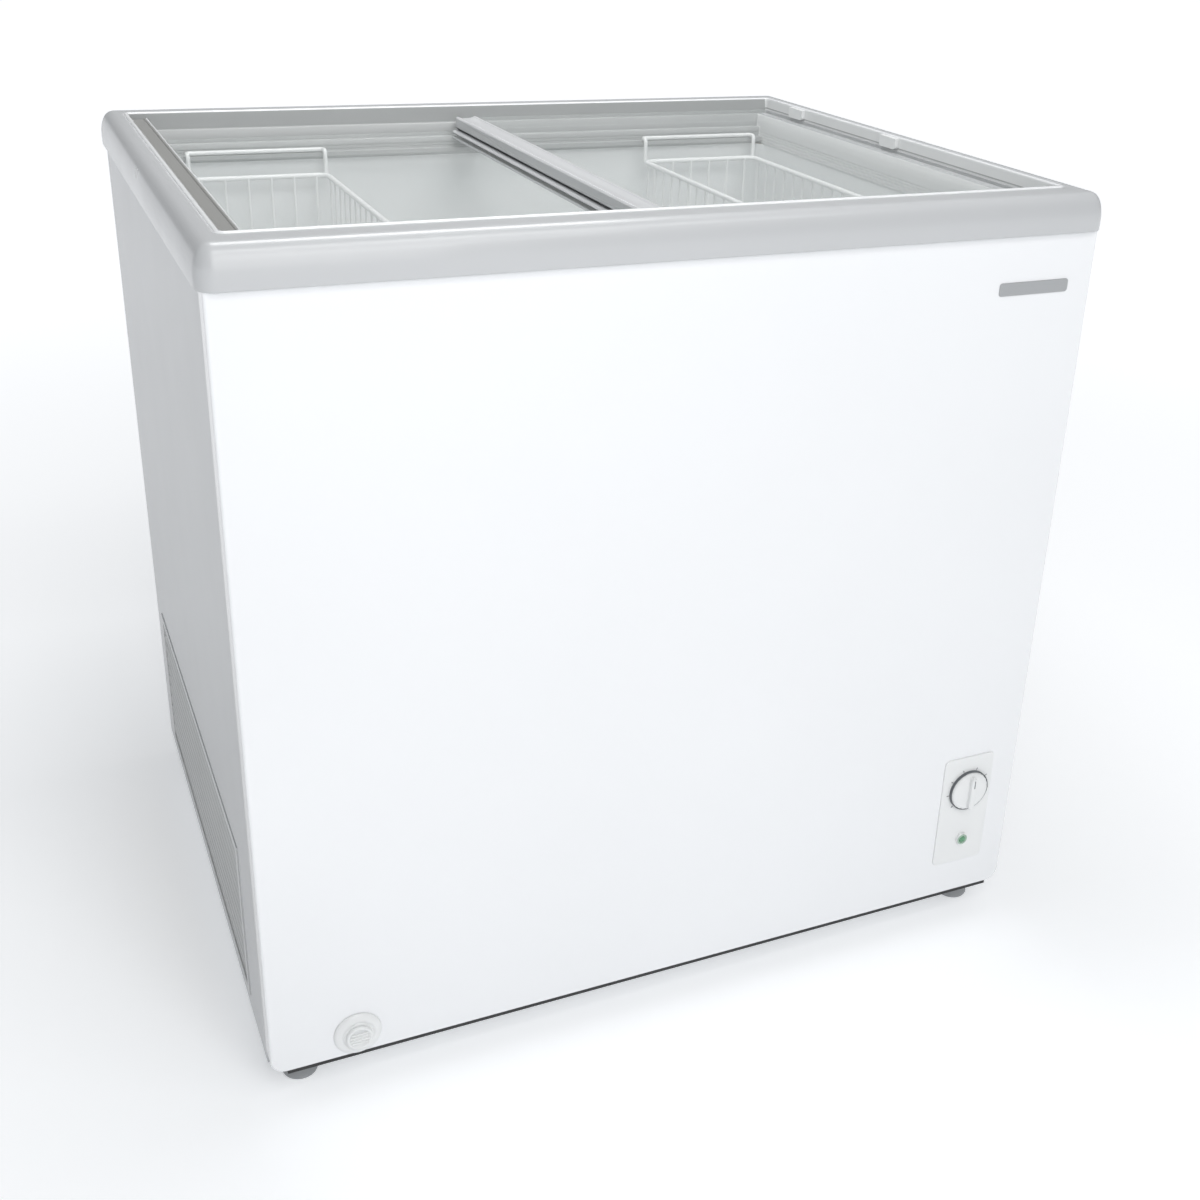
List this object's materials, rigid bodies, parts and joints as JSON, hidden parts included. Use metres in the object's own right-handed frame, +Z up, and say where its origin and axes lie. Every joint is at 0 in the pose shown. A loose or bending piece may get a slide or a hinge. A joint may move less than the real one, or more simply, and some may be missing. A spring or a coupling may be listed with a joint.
{
  "type": "sliding glass lid chest freezer",
  "caption": "Low chest freezer for ice cream with flat sliding glass lids, hanging wire baskets, side louvres, front thermostat and drain.",
  "frame": {"origin": "on the floor under the middle of the cabinet's outer box", "axes": "+Z up, -Y out of the front with the thermostat knob, +X to the right as seen from the front"},
  "size_m": [0.87, 0.718, 0.853],
  "materials": {
    "white_enamel": "smooth gloss enamel on steel sheet",
    "side_enamel": "smooth gloss enamel on steel sheet",
    "frame_plastic": "satin light grey moulded plastic",
    "collar_plastic": "satin mid grey moulded plastic",
    "white_plastic": "white moulded plastic",
    "louvre_plastic": "fine grained moulded plastic",
    "galvanised": "galvanised sheet",
    "foam": "rigid polyurethane foam",
    "liner_enamel": "white enamel tub",
    "glass": "flat toughened clear glass",
    "profile_plastic": "satin light grey extrusion",
    "dark_strip": "dark grey extrusion",
    "brush": "short grey brush pile",
    "coated_wire": "white plastic coated steel wire",
    "foot_plastic": "grey moulded plastic",
    "rubber": "black rubber",
    "black_enamel": "black enamel on pressed steel",
    "black_plastic": "black moulded plastic",
    "copper": "drawn copper tube",
    "aluminium": "thin aluminium fins",
    "screw_steel": "zinc plated steel",
    "lamp_green": "green tinted lens",
    "badge": "plain satin trim",
    "hose": "pale flexible hose"
  },
  "bodies": {
    "cabinet": {"front_panel": "white_enamel", "left_side_panel": "side_enamel", "right_side_panel": "side_enamel", "left_louvre_grille": "louvre_plastic", "right_louvre_grille": "louvre_plastic", "back_panel": "galvanised", "rear_cover": "galvanised", "cover_screws": "screw_steel", "base_pan": "galvanised", "feet": "foot_plastic", "rear_spacers": "rubber", "badge_plate": "badge", "foam_insulation": "foam", "inner_liner": "liner_enamel", "liner_collar": "collar_plastic", "basket_rails": "collar_plastic", "tub_drain_fitting": "white_plastic", "drain_tube": "hose", "drain_flange": "white_plastic", "top_frame": "frame_plastic", "lid_keepers": "white_plastic", "control_plate": "white_plastic", "thermostat_body": "black_plastic", "lamp_bezel": "white_plastic", "lamp_lens": "lamp_green", "compressor_shell": "black_enamel", "compressor_plate": "black_enamel", "compressor_grommets": "rubber", "compressor_bolts": "screw_steel", "relay_cover": "black_plastic", "condenser_fins": "aluminium", "condenser_tube": "copper", "fan_shroud": "black_plastic", "fan_motor": "black_plastic", "filter_dryer": "copper", "discharge_tube": "copper", "suction_tube": "copper", "capillary_tube": "copper", "tub_cooling_coil": "copper", "cable_gland": "black_plastic"},
    "left_lid": {"left_lid_glass": "glass", "left_lid_edge_strip": "profile_plastic", "left_lid_end_strip": "dark_strip"},
    "right_lid": {"right_lid_glass": "glass", "right_lid_divider": "profile_plastic", "right_lid_end_strip": "profile_plastic", "right_lid_brush_seal": "brush"},
    "left_basket": {"left_basket_rim": "coated_wire", "left_basket_mesh": "coated_wire", "left_basket_hangers": "coated_wire"},
    "right_basket": {"right_basket_rim": "coated_wire", "right_basket_mesh": "coated_wire", "right_basket_hangers": "coated_wire"},
    "knob": {"thermostat_knob": "white_plastic"},
    "drain_cap": {"drain_cap": "white_plastic"},
    "drain_stopper": {"drain_stopper": "white_plastic"},
    "fan": {"fan_blades": "black_plastic"}
  },
  "joints": [
    {"name": "left_lid_slide", "type": "slide", "parent": "cabinet", "child": "left_lid", "axis": [1, 0, 0], "range_m": [0, 0.35]},
    {"name": "right_lid_slide", "type": "slide", "parent": "cabinet", "child": "right_lid", "axis": [1, 0, 0], "range_m": [-0.35, 0]},
    {"name": "left_basket_slide", "type": "slide", "parent": "cabinet", "child": "left_basket", "axis": [1, 0, 0], "range_m": [0, 0.2]},
    {"name": "right_basket_slide", "type": "slide", "parent": "cabinet", "child": "right_basket", "axis": [1, 0, 0], "range_m": [-0.2, 0]},
    {"name": "knob_turn", "type": "hinge", "parent": "cabinet", "child": "knob", "pos_m": [0.367, -0.345, 0.177], "axis": [0, 1, 0], "range_deg": [0, 270]},
    {"name": "drain_cap_pull", "type": "slide", "parent": "cabinet", "child": "drain_cap", "axis": [0, -1, 0], "range_m": [0, 0.06]},
    {"name": "drain_stopper_pull", "type": "slide", "parent": "cabinet", "child": "drain_stopper", "axis": [0, 0, 1], "range_m": [0, 0.06]},
    {"name": "fan_spin", "type": "hinge", "parent": "cabinet", "child": "fan", "pos_m": [-0.144, 0.03, 0.13], "axis": [1, 0, 0], "continuous": true}
  ]
}
